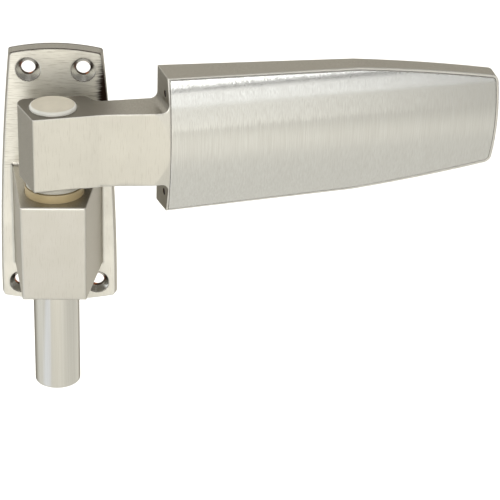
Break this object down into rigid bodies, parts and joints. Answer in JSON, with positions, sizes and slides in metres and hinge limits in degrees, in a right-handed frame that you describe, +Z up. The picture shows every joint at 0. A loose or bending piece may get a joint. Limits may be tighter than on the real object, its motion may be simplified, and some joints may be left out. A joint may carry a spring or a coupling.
{
  "type": "spring-assisted offset hinge",
  "caption": "Self-closing offset strap hinge: a jamb flange with a spring tube under its boss, helical nylon cams that lift the strap as it opens, and a covered tapered strap.",
  "frame": {"origin": "centre of the flange's back face, which lies on the jamb", "axes": "+Y into the wall, +Z up along the hinge pin, +X to the side of the strap"},
  "size_m": [0.2448, 0.0623, 0.1638],
  "materials": {
    "satin_chrome": "brushed satin plating on zinc casting, copper showing in the screw holes",
    "satin_cover": "brushed satin plated cover plate",
    "polished_tube": "drawn steel tube, satin plated",
    "beige_nylon": "moulded nylon",
    "grey_nylon": "moulded nylon",
    "cream_cap": "moulded cap",
    "spindle_steel": "turned steel",
    "spring_steel": "oiled spring steel",
    "bearing_bronze": "sintered bronze",
    "black_screw": "blackened set screw"
  },
  "bodies": {
    "flange_set": {"flange": "satin_chrome", "spring_tube": "polished_tube", "tube_plug": "spindle_steel", "plug_pin": "spindle_steel", "tube_lock_screw": "black_screw", "torsion_spring": "spring_steel", "bearing_bush": "bearing_bronze", "thrust_washer": "bearing_bronze", "lower_cam": "beige_nylon"},
    "spindle_set": {"spindle": "spindle_steel"},
    "strap_set": {"strap": "satin_chrome", "strap_cover": "satin_cover", "cover_screw_upper": "black_screw", "cover_screw_lower": "black_screw", "upper_cam": "grey_nylon", "top_cap": "cream_cap"}
  },
  "joints": [
    {"name": "swing", "type": "hinge", "parent": "flange_set", "child": "spindle_set", "pos_m": [0, -0.0355, 0], "axis": [0, 0, -1], "range_deg": [0, 110], "stiffness_Nm_per_rad": 0.6, "springref_deg": -45.84, "deforming": ["torsion_spring"]},
    {"name": "cam_rise", "type": "slide", "parent": "spindle_set", "child": "strap_set", "axis": [0, 0, 1], "range_m": [0, 0.01]}
  ],
  "couplings": [
    {"joint": "cam_rise", "follows": "swing", "m_per_rad": 0.0052087}
  ]
}
